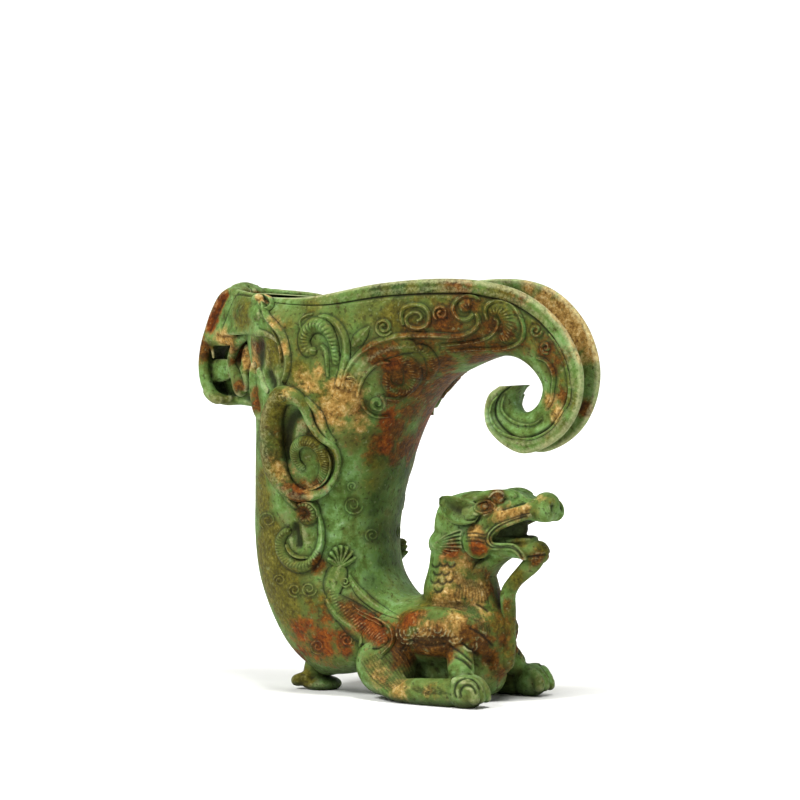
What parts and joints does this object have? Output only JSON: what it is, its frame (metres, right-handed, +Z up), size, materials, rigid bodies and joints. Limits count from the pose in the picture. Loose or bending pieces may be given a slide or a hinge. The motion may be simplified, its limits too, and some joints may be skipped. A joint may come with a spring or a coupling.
{
  "type": "bronze beast cup",
  "caption": "Patinated bronze drinking horn with a leaf-shaped mouth and a rolled-up front lip, carried on the back of a crouching open-mouthed beast.",
  "frame": {"origin": "on the table under the middle of the whole cup's box", "axes": "+X from the horn towards the beast's nose and the curled lip, +Z up, Y = 0 is the mirror plane"},
  "size_m": [0.1564, 0.0702, 0.1464],
  "materials": {
    "green_bronze": "cast bronze under a green copper patina, satin, darker in the recesses",
    "olive_bronze": "cast bronze under an olive patina with worn pale edges",
    "brown_bronze": "cast bronze under a brown and orange patina, slightly grainy"
  },
  "bodies": {
    "root": {"horn_shell": "green_bronze", "curled_lip": "green_bronze", "cup_floor": "olive_bronze", "rear_strap": "olive_bronze", "rear_web": "green_bronze", "beast_torso": "brown_bronze", "beast_neck": "brown_bronze", "beast_head": "green_bronze", "lower_jaw": "green_bronze", "beard": "olive_bronze", "rear_foot": "olive_bronze", "near_upper_ring": "olive_bronze", "far_upper_ring": "olive_bronze", "near_inner_curl": "green_bronze", "far_inner_curl": "green_bronze", "near_lower_ring": "olive_bronze", "far_lower_ring": "olive_bronze", "near_brow_band": "olive_bronze", "far_brow_band": "olive_bronze", "near_wing": "brown_bronze", "far_wing": "brown_bronze", "near_rear_hook": "olive_bronze", "far_rear_hook": "olive_bronze", "near_ear": "green_bronze", "far_ear": "green_bronze", "near_eye": "brown_bronze", "far_eye": "brown_bronze", "near_foreleg": "green_bronze", "far_foreleg": "green_bronze", "near_paw": "green_bronze", "far_paw": "green_bronze", "near_haunch": "brown_bronze", "far_haunch": "brown_bronze"}
  },
  "joints": []
}
